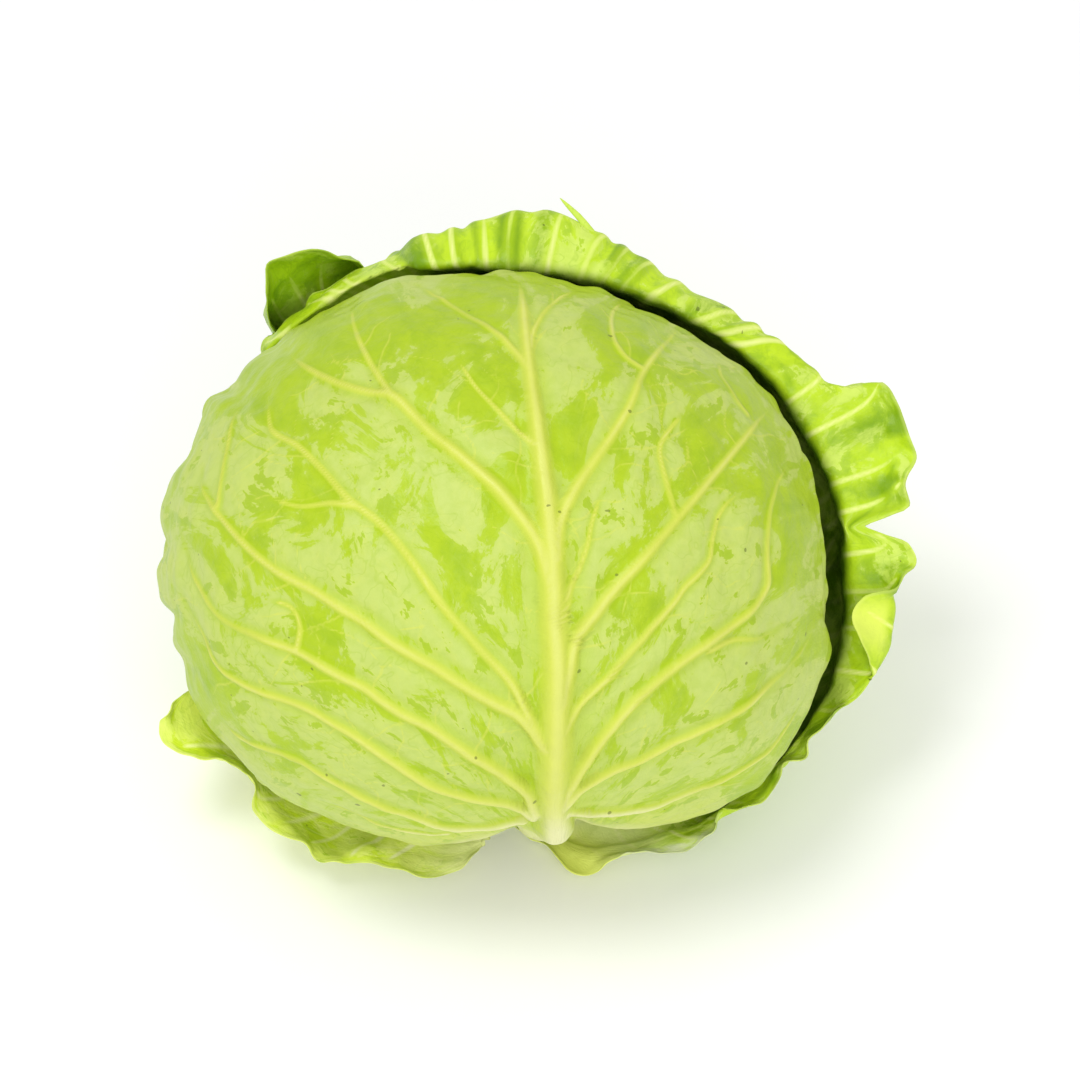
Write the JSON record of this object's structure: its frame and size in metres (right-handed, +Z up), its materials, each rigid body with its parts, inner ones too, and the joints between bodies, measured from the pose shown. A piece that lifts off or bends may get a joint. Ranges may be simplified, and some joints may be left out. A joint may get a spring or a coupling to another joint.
{
  "type": "cabbage head",
  "caption": "Head of flat white cabbage with a ribbed front leaf, leaning back in loose wrapper leaves on a small flat spot.",
  "frame": {"origin": "middle of the flat spot that the head rests on, straight below the head's centre", "axes": "+Z up; -Y towards the viewer, the side of the front leaf; +X to the viewer's right, along the head's width"},
  "size_m": [0.2356, 0.1835, 0.1787],
  "materials": {
    "front_leaf": "waxy lime green leaf with a pale bloom and yellow ribs",
    "wrapper_leaf": "darker green loose leaf with pale ribs",
    "head_leaf": "pale green inner leaf",
    "stem": "matt cream cut stem"
  },
  "bodies": {
    "root": {"inner_head": "head_leaf", "left_leaf": "head_leaf", "right_leaf": "head_leaf", "front_leaf": "front_leaf", "wrapper_leaf_back": "wrapper_leaf", "wrapper_leaf_upper_left": "wrapper_leaf", "wrapper_leaf_lower_left": "wrapper_leaf", "stem": "stem"}
  },
  "joints": []
}
